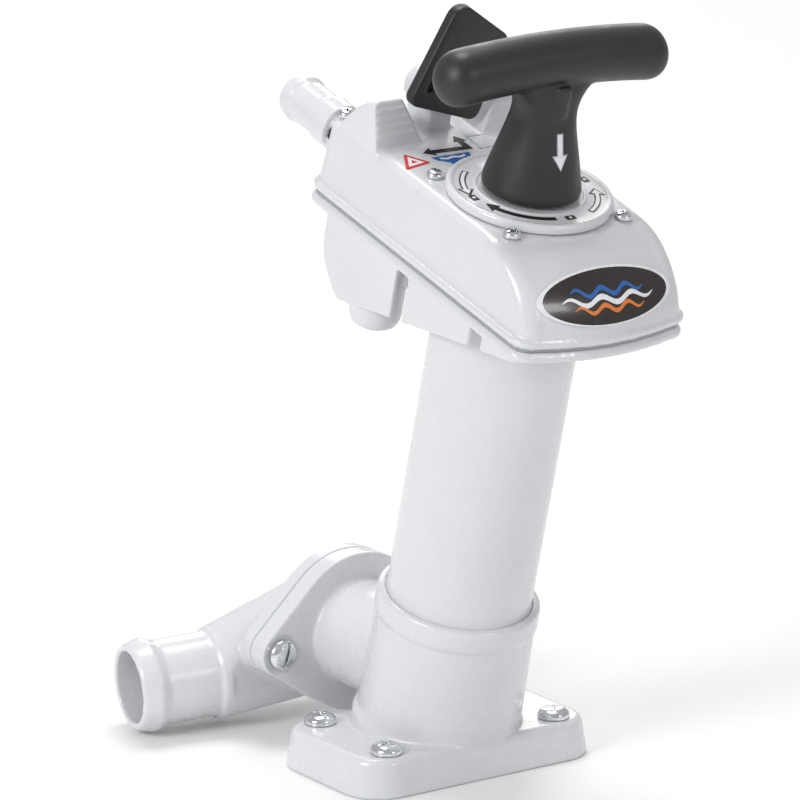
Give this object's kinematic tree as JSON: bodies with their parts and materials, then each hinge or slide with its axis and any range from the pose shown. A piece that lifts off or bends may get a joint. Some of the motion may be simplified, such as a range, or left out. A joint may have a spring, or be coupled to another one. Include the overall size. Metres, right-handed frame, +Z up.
{
  "type": "manual marine toilet pump",
  "caption": "Hand-worked marine toilet pump: leaning barrel on a plate, valve head with a dial, charcoal tee handle, flush lever and hose barbs.",
  "frame": {"origin": "centre of the base plate on its underside, at the hub of the inlet spider", "axes": "+Z up, -Y is the front with the badge, +X to the right seen from the front; the barrel leans 15 degrees towards -Y"},
  "size_m": [0.1476, 0.2332, 0.3145],
  "materials": {
    "moulded_plastic": "glossy pale grey-white moulding",
    "charcoal_plastic": "charcoal, fine satin grain",
    "chrome_screws": "polished",
    "steel_rod": "ground stainless",
    "black_rubber": "matt",
    "flap_weights": "plain",
    "badge_plate": "dark brown-black with a pale edge"
  },
  "bodies": {
    "pump": {"base": "moulded_plastic", "base_seal_ring": "black_rubber", "barrel_seal": "black_rubber", "pump_body": "moulded_plastic", "top_valve_gasket": "black_rubber", "valve_cover": "moulded_plastic", "seal_housing": "moulded_plastic", "rod_bush": "charcoal_plastic", "rod_seal": "black_rubber", "rod_wiper": "black_rubber", "discharge_elbow": "moulded_plastic", "joker_valve": "black_rubber", "badge": "badge_plate", "base_screw_1": "chrome_screws", "base_screw_2": "chrome_screws", "base_screw_3": "chrome_screws", "base_screw_4": "chrome_screws", "cover_screw_1": "chrome_screws", "cover_screw_2": "chrome_screws", "cover_screw_3": "chrome_screws", "cover_screw_4": "chrome_screws", "cover_screw_5": "chrome_screws", "cover_screw_6": "chrome_screws", "flange_screw_1": "chrome_screws", "flange_screw_2": "chrome_screws"},
    "piston_lift": {"piston": "charcoal_plastic", "piston_oring": "black_rubber", "piston_washer": "steel_rod"},
    "tee_handle": {"rod": "steel_rod", "t_handle": "charcoal_plastic", "piston_nut": "steel_rod"},
    "lever": {"flush_lever": "charcoal_plastic", "lever_shaft": "steel_rod", "lever_oring": "black_rubber"},
    "foot_flap": {"bottom_flap": "black_rubber", "bottom_flap_weight": "flap_weights"},
    "intake_flap": {"intake_flap": "black_rubber", "intake_flap_weight": "flap_weights"}
  },
  "joints": [
    {"name": "handle_lift", "type": "slide", "parent": "pump", "child": "piston_lift", "axis": [0, -0.2588, 0.9659], "range_m": [0, 0.1]},
    {"name": "handle_twist", "type": "hinge", "parent": "piston_lift", "child": "tee_handle", "pos_m": [0, -0.05176, 0.20919], "axis": [0, -0.2588, 0.9659], "range_deg": [-90, 0]},
    {"name": "flush_lever_swing", "type": "hinge", "parent": "pump", "child": "lever", "pos_m": [0, -0.01061, 0.27198], "axis": [0, 0.9659, 0.2588], "range_deg": [0, 22]},
    {"name": "bottom_flap_swing", "type": "hinge", "parent": "pump", "child": "foot_flap", "pos_m": [0, 0.019, 0.0083], "axis": [-1, 0, 0], "range_deg": [0, 35]},
    {"name": "intake_flap_swing", "type": "hinge", "parent": "pump", "child": "intake_flap", "pos_m": [-0.023, 0.00535, 0.23173], "axis": [-1, 0, 0], "range_deg": [0, 35]}
  ]
}
